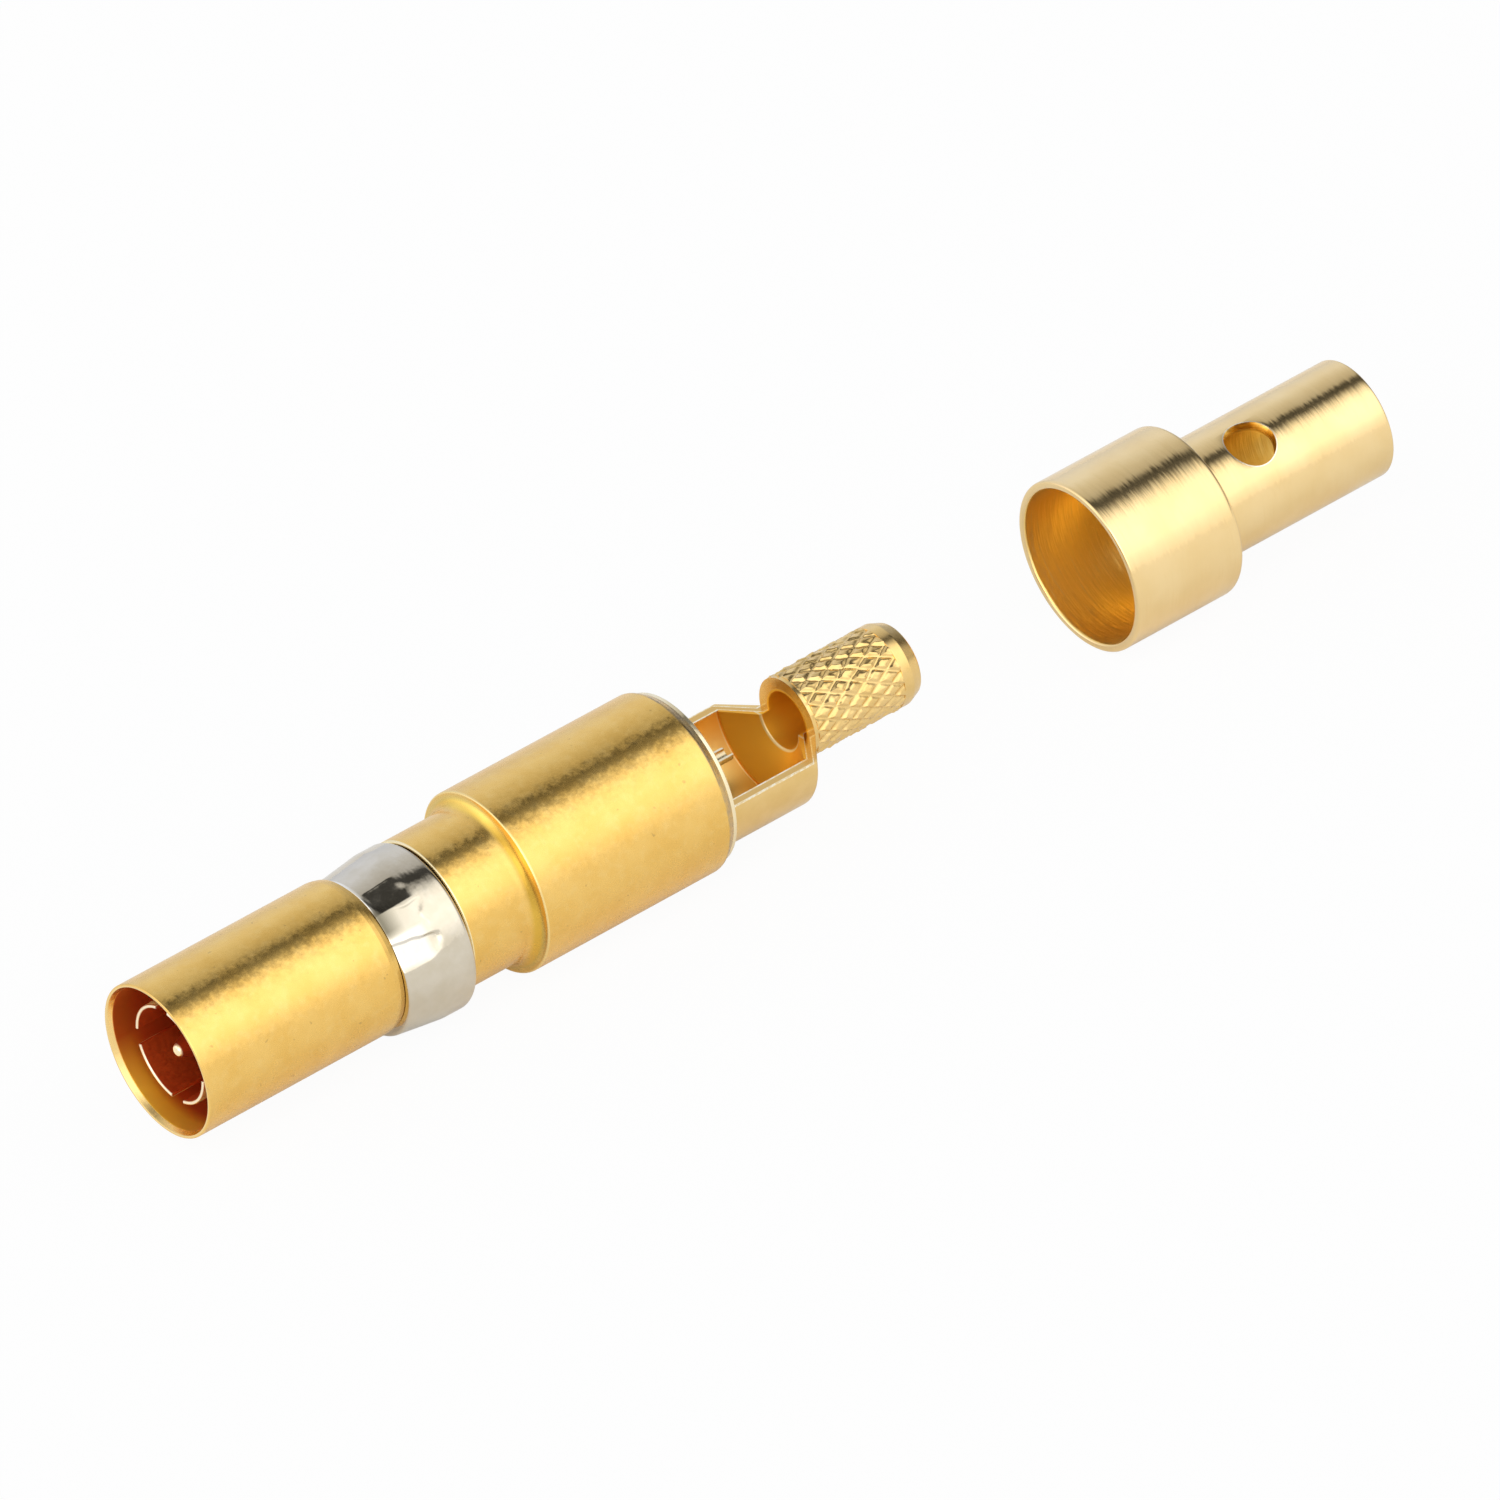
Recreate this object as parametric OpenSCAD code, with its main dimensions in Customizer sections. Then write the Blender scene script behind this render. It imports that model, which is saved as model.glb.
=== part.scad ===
// Coaxial plug contact with its crimp ferrule, lying in line along X
// The origin is on the axis at the front shoulder of the barrel, and the cable end points to +X

/* [Shell] */
// Outer diameter of the nose sleeve and of the neck
nose_d = 5.23; // [5:0.01:5.8]
// Length from the mouth to the front shoulder of the barrel
nose_len = 12.8; // [11.5:0.05:14]
// Wall of the nose sleeve round the mouth
nose_wall = 0.185; // [0.17:0.005:0.24]
// Chamfer inside the rim of the mouth
rim_chamfer = 0.08; // [0.04:0.01:0.1]
// Length of that chamfer
rim_lead = 0.2; // [0.1:0.02:0.3]
// Length of the solid neck between the mouth and the clip groove
throat_len = 0.64; // [0.4:0.02:1]
// Outer diameter of the barrel
barrel_d = 6.2; // [6:0.02:6.8]
// Length of the barrel
barrel_len = 7.6; // [6.5:0.05:8.5]
// Wall of the barrel round the crimp body
barrel_wall = 0.49; // [0.4:0.01:0.6]
// Length of the bevel at the rear edge of the barrel
barrel_bevel = 0.26; // [0.15:0.01:0.4]
// Height of that bevel
barrel_drop = 0.17; // [0.08:0.01:0.2]
// Length of the lip behind the bevel
barrel_lip = 0.14; // [0.1:0.01:0.3]
// Radius of the rounded rear edge of the nose sleeve, ahead of the clip
nose_round = 0.2; // [0.1:0.01:0.25]
// Chamfer at the front edge of the neck, behind the clip
neck_chamfer = 0.1; // [0.04:0.01:0.15]
// Share of the front shoulder's height that the fillet at its foot takes
shoulder_share = 0.68; // [0.3:0.02:0.8]
// Thickness of the step inside that carries the contact tube
seat_step = 0.6; // [0.4:0.02:0.8]

/* [Retention clip] */
// Height of the clip above the nose when it is centred
clip_proud = 0.23; // [0.15:0.01:0.3]
// Wall of the clip
clip_wall = 0.4; // [0.3:0.01:0.44]
// Wall at the front end of its cone
clip_lip = 0.18; // [0.12:0.01:0.22]
// Radius of the rounded front edge
clip_round = 0.1; // [0.04:0.01:0.12]
// Length of the clip
clip_len = 2.49; // [2.3:0.01:2.8]
// Length of the cone
clip_cone_len = 1.66; // [1:0.02:2]
// Length of the rounded rear edge
clip_tail = 0.14; // [0.1:0.01:0.4]
// Drop of that edge
clip_tail_drop = 0.06; // [0.03:0.01:0.14]
// Width of the slit
clip_slit = 0.7; // [0.4:0.05:1]
// Turn of the slit about the axis, in degrees from -Z towards +Y
clip_turn = 53.5; // [0:0.5:90]
// Length of the neck between the groove and the barrel
neck_len = 2.55; // [2.2:0.05:2.9]
// Gap between the nose sleeve and the clip
clip_gap = 0.04; // [0.02:0.01:0.08]
// Gap between the clip and the neck
clip_play = 0.12; // [0.04:0.01:0.2]
// Room between the clip and the groove when it is centred
clip_room = 0.19; // [0.15:0.01:0.26]
// Side that the clip has slipped to, in degrees from -Y towards -Z
clip_side = 53.5; // [0:0.5:90]

/* [Contact tube] */
// Outer diameter of the fingers
finger_d = 3.39; // [3.2:0.01:3.5]
// Wall of the fingers
finger_wall = 0.12; // [0.1:0.01:0.2]
// Distance of the finger ends behind the mouth
finger_recess = 0.47; // [0.3:0.01:0.8]
// Width of the slots between the fingers
slot_w = 0.58; // [0.4:0.02:0.8]
// Length of the closed part of the tube between the slots and the base
slot_stop = 0.98; // [0.5:0.02:2]
// Number of slots
slot_count = 4; // [3:1:6]
// Step from the fingers to the base that is seated in the shell
base_step = 0.2; // [0.1:0.01:0.22]
// Thickness of the flange behind the base
flange_t = 0.5; // [0.4:0.02:0.7]

/* [Centre pin and insulators] */
// Diameter of the pin
pin_d = 0.92; // [0.84:0.02:1]
// Distance of the pin point behind the mouth
pin_recess = 0.73; // [0.5:0.01:1]
// Diameter of the blunt end of the point
pin_point_d = 0.34; // [0.2:0.02:0.5]
// Length of the point
pin_point_len = 0.6; // [0.4:0.02:0.9]
// Height of the collar that is held between the insulators
collar_step = 0.44; // [0.3:0.02:0.6]
// Thickness of the collar
collar_t = 0.6; // [0.4:0.02:0.8]
// Outer diameter of the solder cup
cup_d = 0.62; // [0.56:0.02:0.8]
// Wall of the solder cup
cup_wall = 0.1; // [0.08:0.01:0.14]
// Distance of the solder cup's end behind the barrel
cup_reach = 2; // [1.8:0.05:2.6]
// Length of the opened half of the solder cup
cup_open_len = 1.4; // [1:0.05:1.6]
// Depth of the wire bore ahead of the opened half
cup_deep = 0.8; // [0.4:0.05:1]
// Length of the front insulator
insulator_len = 6.8; // [6:0.05:7]
// Distance from the rear insulator to the rear face of the barrel
insulator_recess = 1.1; // [0.7:0.05:1.3]

/* [Crimp body] */
// Wall of the crimp body
crimp_wall = 0.36; // [0.3:0.01:0.45]
// Length of the straight part of the solder window behind the barrel
window_len = 3.5; // [3:0.05:4.5]
// Length of the window's cut that is hidden in the barrel
window_under = 0.1; // [0.05:0.01:0.2]
// Depth of the window's floor below the axis
window_drop = 0.08; // [0:0.01:0.2]
// Length of the cone that leads to the stem
cone_len = 0.89; // [0.7:0.05:1]
// Length of the cone inside
inner_cone_len = 0.79; // [0.6:0.01:0.9]
// Outer diameter of the knurled stem
stem_d = 2.87; // [2.7:0.01:3]
// Length of the stem
stem_len = 4.37; // [4:0.01:5]
// Diameter of the bore through the stem
stem_bore_d = 1.86; // [1.6:0.02:2]
// Thickness of the wall where the cone inside meets the bore
bore_lip = 0.33; // [0.2:0.01:0.4]
// Diameter at the end of the stem
stem_end_d = 2.5; // [2.3:0.02:2.6]
// Length of the smooth end of the stem
stem_lead = 0.78; // [0.6:0.02:1]
// Length of the chamfer at its tip
stem_tip = 0.42; // [0.2:0.02:0.5]
// Length of the smooth collar ahead of the knurl
stem_collar = 0.14; // [0.1:0.02:0.3]
// Number of knurl grooves in each direction
knurl_count = 18; // [14:1:22]
// Number of half rows of the knurl along the stem
knurl_rows = 8; // [5:1:12]
// Depth of the knurl
knurl_depth = 0.1; // [0.05:0.01:0.14]
// Share of each diamond that is flat on top
knurl_flat = 0.65; // [0.4:0.05:0.8]

/* [Crimp ferrule] */
// Room round the crimp body when the cup is pushed over it
ferrule_room = 0.09; // [0.03:0.01:0.15]
// Wall of the cup
ferrule_wall = 0.275; // [0.22:0.005:0.35]
// Length of the cup
ferrule_cup_len = 4.3; // [3.5:0.05:5]
// Outer diameter of the crimp tube
tube_d = 4.08; // [3.8:0.02:4.4]
// Wall of the crimp tube
tube_wall = 0.42; // [0.3:0.01:0.5]
// Length of the crimp tube
tube_len = 6.98; // [6:0.01:8]
// Length of the cone inside between the cup and the tube
ferrule_cone_len = 0.3; // [0.2:0.02:0.5]
// Diameter of the cross hole
hole_d = 1.7; // [1.2:0.02:2]
// Distance of the cross hole behind the cup
hole_pos = 2.27; // [1.8:0.01:2.6]
// Turn of the cross hole away from the solder window
hole_turn = 27.5; // [0:0.5:60]
// Break of the outer edge at the back of the cup
cup_edge = 0.12; // [0.05:0.01:0.2]
// Clear distance from the end of the stem to the ferrule as it lies
ferrule_gap = 7.24; // [4:0.01:12]
// Distance that the ferrule lies to the side
ferrule_aside = 0.17; // [0:0.01:0.3]

/* [Hidden] */
$fn = 96;
fit = 0.02;
edge = 0.05;
over = 1;
nose_r = nose_d / 2;
mouth_r = nose_r - nose_wall;
mouth_x = -nose_len;
clip_rear = -neck_len - clip_play;
clip_x = clip_rear - clip_len;
groove_front = clip_x - clip_gap;
mouth_end = groove_front - throat_len;
clip_r = nose_r + clip_proud;
clip_bore_r = clip_r - clip_wall;
groove_r = clip_bore_r - clip_room;
clip_drop = clip_room - fit / 2;
finger_r = finger_d / 2;
socket_r = finger_r - finger_wall;
base_r = finger_r + base_step;
finger_x = mouth_x + finger_recess;
slot_end = mouth_end - slot_stop;
flange_end = seat_step + flange_t;
barrel_r = barrel_d / 2;
seat_r = barrel_r - barrel_wall;
fillet_r = shoulder_share * (barrel_r - nose_r);
fillet_steps = 4;
crimp_r = seat_r - fit;
crimp_bore_r = crimp_r - crimp_wall;
pin_r = pin_d / 2;
point_r = pin_point_d / 2;
point_x = mouth_x + pin_recess;
collar_r = pin_r + collar_step;
collar_x = flange_end - collar_t / 2;
collar_end = collar_x + collar_t;
cup_r = cup_d / 2;
cup_end = barrel_len + cup_reach;
insulator_x = collar_x - fit - insulator_len;
insulator_end = barrel_len - insulator_recess;
window_end = barrel_len + window_len;
stem_x = window_end + cone_len;
stem_end = stem_x + stem_len;
stem_r = stem_d / 2;
stem_bore_r = stem_bore_d / 2;
stem_end_r = stem_end_d / 2;
knurl_x = stem_x + stem_collar;
knurl_end = stem_end - stem_lead;
knurl_root = stem_r - knurl_depth;
collar_band_r = stem_r - knurl_depth / 2;
inner_cone_end = stem_x - bore_lip;
inner_cone_x = inner_cone_end - inner_cone_len;
ferrule_bore_r = crimp_r + ferrule_room;
ferrule_r = ferrule_bore_r + ferrule_wall;
tube_r = tube_d / 2;
tube_bore_r = tube_r - tube_wall;
ferrule_x = stem_end + ferrule_gap;
ferrule_step = ferrule_x + ferrule_cup_len;
ferrule_end = ferrule_step + tube_len;
ferrule_drop = barrel_r - ferrule_r;
gold = [0.85, 0.66, 0.29];
pale_gold = [0.88, 0.76, 0.46];
nickel = [0.78, 0.78, 0.76];
plastic = [0.93, 0.92, 0.89];

// Turns a profile of radius and distance about the X axis
module turned(points)
    rotate([90, 0, 90])
        rotate_extrude()
            polygon(points);

// Round bar along X
module bar(r, x0, x1)
    translate([x0, 0, 0])
        rotate([0, 90, 0])
            cylinder(r = r, h = x1 - x0);

// Points of the hollow fillet between the neck and the front shoulder
shoulder_fillet = [for (i = [0 : fillet_steps])
    let (a = 90 * i / fillet_steps)
    [nose_r + fillet_r * (1 - cos(a)), fillet_r * (sin(a) - 1)]];

// Points of the rounded edge where the nose sleeve drops into the clip groove
nose_edge = [for (i = [0 : fillet_steps])
    let (a = 90 * i / fillet_steps)
    [nose_r - nose_round * (1 - cos(a)), groove_front - nose_round * (1 - sin(a))]];

// Points of the rounded front edge of the clip
clip_edge = [for (i = [0 : fillet_steps])
    let (a = 90 * i / fillet_steps)
    [clip_bore_r + clip_lip - clip_round * (1 - sin(a)), clip_x + clip_round * (1 - cos(a))]];

// Turned outer body with the mouth, the clip groove and the barrel
module shell()
    color(gold)
        turned([
            [mouth_r + rim_chamfer, mouth_x],
            [nose_r - edge, mouth_x],
            [nose_r, mouth_x + edge],
            each nose_edge,
            [groove_r, groove_front],
            [groove_r, -neck_len],
            [nose_r - neck_chamfer, -neck_len],
            [nose_r, -neck_len + neck_chamfer],
            each shoulder_fillet,
            [barrel_r, 0],
            [barrel_r, barrel_len - barrel_lip - barrel_bevel],
            [barrel_r - barrel_drop, barrel_len - barrel_lip],
            [barrel_r - barrel_drop, barrel_len - edge],
            [barrel_r - barrel_drop - edge, barrel_len],
            [seat_r, barrel_len],
            [seat_r, seat_step],
            [base_r, seat_step],
            [base_r, mouth_end],
            [mouth_r, mouth_end],
            [mouth_r, mouth_x + rim_lead]
        ]);

// Split spring ring that hangs loose in the groove
module retention_clip()
    color(nickel)
        translate([0, -clip_drop * cos(clip_side), -clip_drop * sin(clip_side)])
            difference() {
                turned([
                    [clip_bore_r, clip_x],
                    each clip_edge,
                    [clip_r, clip_x + clip_cone_len],
                    [clip_r, clip_rear - clip_tail],
                    [clip_r - clip_tail_drop * 0.3, clip_rear - clip_tail * 0.4],
                    [clip_r - clip_tail_drop, clip_rear],
                    [clip_bore_r, clip_rear]
                ]);
                rotate([clip_turn, 0, 0])
                    translate([clip_x - over, -clip_slit / 2, -clip_r - over])
                        cube([clip_len + 2 * over, clip_slit, clip_r + over]);
            }

// Contact tube with sprung fingers, a seated base and a flange
module spring_socket()
    color(gold)
        difference() {
            turned([
                [socket_r + edge / 2, finger_x],
                [finger_r - edge / 2, finger_x],
                [finger_r, finger_x + edge],
                [finger_r, mouth_end + fit],
                [base_r - fit, mouth_end + fit],
                [base_r - fit, seat_step + fit],
                [seat_r - fit, seat_step + fit],
                [seat_r - fit, flange_end - fit],
                [socket_r, flange_end - fit],
                [socket_r, finger_x + edge]
            ]);
            for (i = [0 : slot_count - 1])
                rotate([360 / slot_count * i, 0, 0])
                    translate([finger_x - over, -slot_w / 2, 0])
                        cube([slot_end - finger_x + over, slot_w, finger_r + over]);
        }

// Bush that carries the pin inside the contact tube
module front_insulator()
    color(plastic)
        difference() {
            bar(socket_r - fit, insulator_x, collar_x - fit);
            bar(pin_r + fit, insulator_x - over, collar_x + over);
        }

// Bush behind the pin, with a recess that takes its collar
module rear_insulator()
    color(plastic)
        difference() {
            union() {
                bar(socket_r - fit, collar_x + fit, flange_end);
                bar(crimp_bore_r - fit, flange_end, insulator_end);
            }
            bar(collar_r + fit, collar_x - over, collar_end + fit);
            bar(cup_r + fit, collar_x, insulator_end + over);
        }

// Centre contact with its point, collar and half-open solder cup
module centre_pin()
    color(gold)
        difference() {
            turned([
                [0, point_x],
                [point_r - edge, point_x],
                [point_r, point_x + edge],
                [pin_r - edge, point_x + pin_point_len],
                [pin_r, point_x + pin_point_len + 3 * edge],
                [pin_r, collar_x],
                [collar_r, collar_x],
                [collar_r, collar_end],
                [cup_r, collar_end],
                [cup_r, cup_end],
                [0, cup_end]
            ]);
            bar(cup_r - cup_wall, cup_end - cup_open_len - cup_deep, cup_end + over);
            translate([cup_end - cup_open_len, -cup_d, 0])
                cube([cup_open_len + over, 2 * cup_d, cup_d]);
        }

// Angle of a knurl point, where odd rows stand half a step aside
function knurl_angle(row, step) = (step + (row % 2) / 2) * 360 / knurl_count;

// Point of the knurl at a row, a step and a radius
function knurl_point(row, step, r) =
    let (a = knurl_angle(row % 2, step))
    [knurl_x + (knurl_end - knurl_x) * row / knurl_rows, r * cos(a), r * sin(a)];

// Corner of a flat diamond top, part of the way from its middle to a groove crossing
function knurl_top(row, step, along, aside) =
    let (a = knurl_angle(row % 2, step + 0.5 + aside * knurl_flat / 2))
    let (x = knurl_x + (knurl_end - knurl_x) * (row + along * knurl_flat) / knurl_rows)
    [x, stem_r * cos(a), stem_r * sin(a)];

// Solid ring of diamonds between two sets of crossing grooves
module knurl() {
    n = knurl_count;
    rows = knurl_rows;
    low = [for (j = [0 : rows], i = [0 : n - 1]) knurl_point(j, i, knurl_root)];
    high = [for (j = [0 : rows], i = [0 : n - 1])
        each [knurl_top(j, i, 0, -1), knurl_top(j, i, 0, 1),
            knurl_top(j, i, j > 0 ? -1 : 0, 0), knurl_top(j, i, j < rows ? 1 : 0, 0)]];
    ends = [[knurl_x, 0, 0], [knurl_end, 0, 0]];
    first = len(low);
    mid = first + len(high);
    function c(j, i) = j * n + (i + n) % n;
    function h(j, i, k) = first + 4 * (j * n + (i + n) % n) + k;
    fore = [for (j = [0 : rows - 1], i = [0 : n - 1]) each [
        [c(j + 1, i + (j % 2)), h(j, i, 3), h(j, i, 0), c(j, i)],
        [c(j, i + 1), h(j, i, 1), h(j, i, 3), c(j + 1, i + (j % 2))]]];
    back = [for (j = [1 : rows], i = [0 : n - 1]) each [
        [h(j, i, 0), h(j, i, 2), c(j - 1, i + (j % 2)), c(j, i)],
        [h(j, i, 2), h(j, i, 1), c(j, i + 1), c(j - 1, i + (j % 2))]]];
    tops = [for (j = [1 : rows - 1], i = [0 : n - 1]) [h(j, i, 3), h(j, i, 1), h(j, i, 2), h(j, i, 0)]];
    front_tops = [for (i = [0 : n - 1]) [h(0, i, 3), h(0, i, 1), h(0, i, 0)]];
    rear_tops = [for (i = [0 : n - 1]) [h(rows, i, 1), h(rows, i, 2), h(rows, i, 0)]];
    caps = [for (i = [0 : n - 1]) each [
        [mid, c(0, i), h(0, i, 0)], [mid, h(0, i, 0), h(0, i, 1)], [mid, h(0, i, 1), c(0, i + 1)],
        [mid + 1, h(rows, i, 0), c(rows, i)], [mid + 1, h(rows, i, 1), h(rows, i, 0)],
        [mid + 1, c(rows, i + 1), h(rows, i, 1)]]];
    polyhedron(concat(low, high, ends), concat(fore, back, tops, front_tops, rear_tops, caps));
}

// Rear body with the solder window and the knurled stem
module crimp_body()
    color(pale_gold)
        difference() {
            union() {
                turned([
                    [0, flange_end],
                    [crimp_r, flange_end],
                    [crimp_r, window_end],
                    [collar_band_r, stem_x],
                    [collar_band_r, knurl_x],
                    [0, knurl_x]
                ]);
                knurl();
                turned([
                    [0, knurl_end],
                    [stem_r - fit, knurl_end],
                    [stem_r - fit, stem_end - stem_tip],
                    [stem_end_r, stem_end - edge],
                    [stem_end_r - edge, stem_end],
                    [0, stem_end]
                ]);
            }
            turned([
                [0, flange_end - over],
                [crimp_bore_r, flange_end - over],
                [crimp_bore_r, inner_cone_x],
                [stem_bore_r, inner_cone_end],
                [stem_bore_r, stem_end + over],
                [0, stem_end + over]
            ]);
            translate([barrel_len - window_under, -crimp_r - over, -window_drop])
                cube([stem_x - barrel_len + window_under, 2 * (crimp_r + over), crimp_r + over]);
        }

// Stepped ferrule with a cross hole, lying on the same ground as the barrel
module crimp_ferrule()
    color(pale_gold)
        translate([0, -ferrule_aside, -ferrule_drop])
            difference() {
                turned([
                    [ferrule_bore_r + edge, ferrule_x],
                    [ferrule_r - edge, ferrule_x],
                    [ferrule_r, ferrule_x + edge],
                    [ferrule_r, ferrule_step - cup_edge],
                    [ferrule_r - cup_edge * 0.3, ferrule_step - cup_edge * 0.3],
                    [ferrule_r - cup_edge, ferrule_step],
                    [tube_r, ferrule_step],
                    [tube_r, ferrule_end - edge],
                    [tube_r - edge, ferrule_end],
                    [tube_bore_r, ferrule_end],
                    [tube_bore_r, ferrule_step - tube_wall],
                    [ferrule_bore_r, ferrule_step - tube_wall - ferrule_cone_len],
                    [ferrule_bore_r, ferrule_x + edge]
                ]);
                translate([ferrule_step + hole_pos, 0, 0])
                    rotate([hole_turn, 0, 0])
                        cylinder(d = hole_d, h = tube_d);
            }

shell();
retention_clip();
spring_socket();
front_insulator();
centre_pin();
rear_insulator();
crimp_body();
crimp_ferrule();
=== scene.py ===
import math
import bpy
import bmesh
from mathutils import Matrix, Vector, noise


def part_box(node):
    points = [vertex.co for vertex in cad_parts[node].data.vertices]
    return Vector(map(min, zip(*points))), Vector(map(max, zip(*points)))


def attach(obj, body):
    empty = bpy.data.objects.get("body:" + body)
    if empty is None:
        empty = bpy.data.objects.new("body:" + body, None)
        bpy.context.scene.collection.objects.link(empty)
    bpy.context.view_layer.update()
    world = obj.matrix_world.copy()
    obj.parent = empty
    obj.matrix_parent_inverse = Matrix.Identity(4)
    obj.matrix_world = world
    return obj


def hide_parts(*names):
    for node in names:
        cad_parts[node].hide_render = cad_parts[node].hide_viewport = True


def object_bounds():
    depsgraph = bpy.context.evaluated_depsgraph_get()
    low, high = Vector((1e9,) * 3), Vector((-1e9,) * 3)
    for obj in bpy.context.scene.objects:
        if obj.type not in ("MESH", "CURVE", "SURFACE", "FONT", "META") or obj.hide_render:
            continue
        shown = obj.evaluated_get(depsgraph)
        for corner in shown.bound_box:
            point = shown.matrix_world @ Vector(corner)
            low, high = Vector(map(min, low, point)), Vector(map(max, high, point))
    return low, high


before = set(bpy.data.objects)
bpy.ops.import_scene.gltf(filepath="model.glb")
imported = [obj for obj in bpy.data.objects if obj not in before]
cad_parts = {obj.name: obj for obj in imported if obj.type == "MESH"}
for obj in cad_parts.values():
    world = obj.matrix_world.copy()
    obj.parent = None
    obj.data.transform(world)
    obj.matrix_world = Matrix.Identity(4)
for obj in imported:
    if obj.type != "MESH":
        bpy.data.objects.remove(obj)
cad_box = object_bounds()

# The tilts of the knurl's pads come out the same each run
SEED = 7
noise.seed_set(SEED)

# Sizes are in millimetres, along X from the front shoulder of the barrel
MM = 0.001
COLUMNS = 192
FIT = 0.02


def span(node):
    """Lowest and highest corner of a CAD node in millimetres."""
    low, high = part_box(node)
    return low / MM, high / MM


SHELL_LOW, SHELL_HIGH = span("shell")
CLIP_LOW, CLIP_HIGH = span("retention_clip")
SOCKET_LOW, SOCKET_HIGH = span("spring_socket")
PIN_LOW, PIN_HIGH = span("centre_pin")
CRIMP_LOW, CRIMP_HIGH = span("crimp_body")
FERRULE_LOW, FERRULE_HIGH = span("crimp_ferrule")

# Shell
MOUTH_X = SHELL_LOW.x
BARREL_END = SHELL_HIGH.x
BARREL_R = SHELL_HIGH.y
NOSE_R = 2.615
MOUTH_R = NOSE_R - 0.185
RIM_CHAMFER = 0.08
RIM_LEAD = 0.2
GROOVE_FRONT = CLIP_LOW.x - 0.01
MOUTH_END = CLIP_LOW.x - 0.68
NECK_LEN = -CLIP_HIGH.x - 0.12
# The nose ends in a slight taper and then a steeper break, as distance and drop
NOSE_TAPER = (0.32, 0.022)
NOSE_BREAK = (0.18, 0.07)
NECK_ROUND = 0.1
SHOULDER_FILLET = 0.86 * (BARREL_R - NOSE_R)
LIP_X = BARREL_END - 0.14
BEVEL_X = LIP_X - 0.26
BARREL_DROP = 0.17
SEAT_STEP = 0.6
SEAT_R = BARREL_R - 0.49
# Side of the mouth's bore that catches the light, where that light is painted on, in degrees from +Y
# towards +Z
BORE_GLOW = 290.0

# Retention clip
CLIP_R = NOSE_R + 0.23
CLIP_BORE_R = CLIP_R - 0.4
CLIP_LIP = 0.18
CLIP_ROUND = 0.1
CLIP_CONE = 1.66
CLIP_TAIL = 0.14
# The front edge is turned in over a short length
CLIP_TURN_IN = 0.14
CLIP_TURN_LEN = 0.3
CLIP_SLIT = 0.7
CLIP_SLIT_AT = -36.5
CLIP_EDGE = 0.03
CLIP_COLUMNS = 640
CLIP_ASIDE = CLIP_HIGH.y - CLIP_R
CLIP_DROP = CLIP_R - CLIP_HIGH.z
# Creases between the flats pressed into the clip's cone, in degrees from +Y towards +Z, each with
# its lean over the clip's length, and the facing and reach of the flat after each crease with the
# share of the length where that flat begins
CLIP_CREASES = [(105.0, 0.0), (124.5, 5.0), (147.0, 8.0), (168.5, -9.0)]
CLIP_FLATS = [(114.5, 10.0, 0.05), (139.5, 15.0, -0.2), (150.5, 17.5, -0.2)]
CLIP_FLAT_SHARE = 0.56
# How far the creases wander in degrees, and the depth of the waviness
CREASE_WANDER = 2.2
CLIP_WAVE = 0.004
GROOVE_R = CLIP_BORE_R - CLIP_TURN_IN - 0.19

# Contact tube
FINGER_R = 1.695
SOCKET_R = FINGER_R - 0.12
BASE_R = FINGER_R + 0.2
SLOT_W = 0.58
SLOT_END = MOUTH_END - 0.98
SLOTS = 4
SLOT_EDGE = 0.02

# Centre pin
PIN_R = 0.46
POINT_R = 0.17
POINT_LEN = 0.6
COLLAR_R = PIN_HIGH.y
COLLAR_X = 0.8
COLLAR_T = 0.6
CUP_R = 0.31
CUP_BORE_R = CUP_R - 0.1
CUP_OPEN = 1.4
CUP_DEEP = 0.8
CUP_EDGE = 0.015

# Crimp body
CRIMP_R = CRIMP_HIGH.y
CRIMP_BORE_R = CRIMP_R - 0.36
STEM_END = CRIMP_HIGH.x
STEM_X = STEM_END - 4.37
WINDOW_END = STEM_X - 0.89
WINDOW_DROP = 0.08
WINDOW_EDGE = 0.04
STEM_R = 1.435
STEM_BORE_R = 0.93
STEM_END_R = 1.25
STEM_LEAD = 0.78
STEM_TIP = 0.42
STEM_COLLAR = 0.14
BORE_LIP = 0.33
INNER_CONE = 0.79
KNURL_COUNT = 18
KNURL_ROWS = 8
KNURL_DEPTH = 0.1
KNURL_FLAT = 0.65
KNURL_STEPS = 16
# Share of the knurl's depth to which burrs fill its grooves
KNURL_SHALLOW = 0.24
# Height of a pad, and its roughness, tilt, burrs and dome, as shares of the knurl's depth
PAD_LEVEL = 0.70
PAD_ROUGH = 0.18
PAD_TILT = 1.3
PAD_BURRS = (0.22, 0.1)
PAD_DOME = 0.5

# Crimp ferrule
FERRULE_R = CRIMP_R + 0.365
FERRULE_BORE_R = FERRULE_R - 0.275
FERRULE_STEP = FERRULE_LOW.x + 4.3
FERRULE_CONE = 0.3
TUBE_R = 2.04
TUBE_WALL = 0.42
HOLE_R = 0.85
HOLE_X = FERRULE_STEP + 2.27
HOLE_TURN = 27.5
HOLE_EDGE = 0.05
FERRULE_Y = FERRULE_LOW.y + FERRULE_R
FERRULE_Z = FERRULE_LOW.z + FERRULE_R


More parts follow.
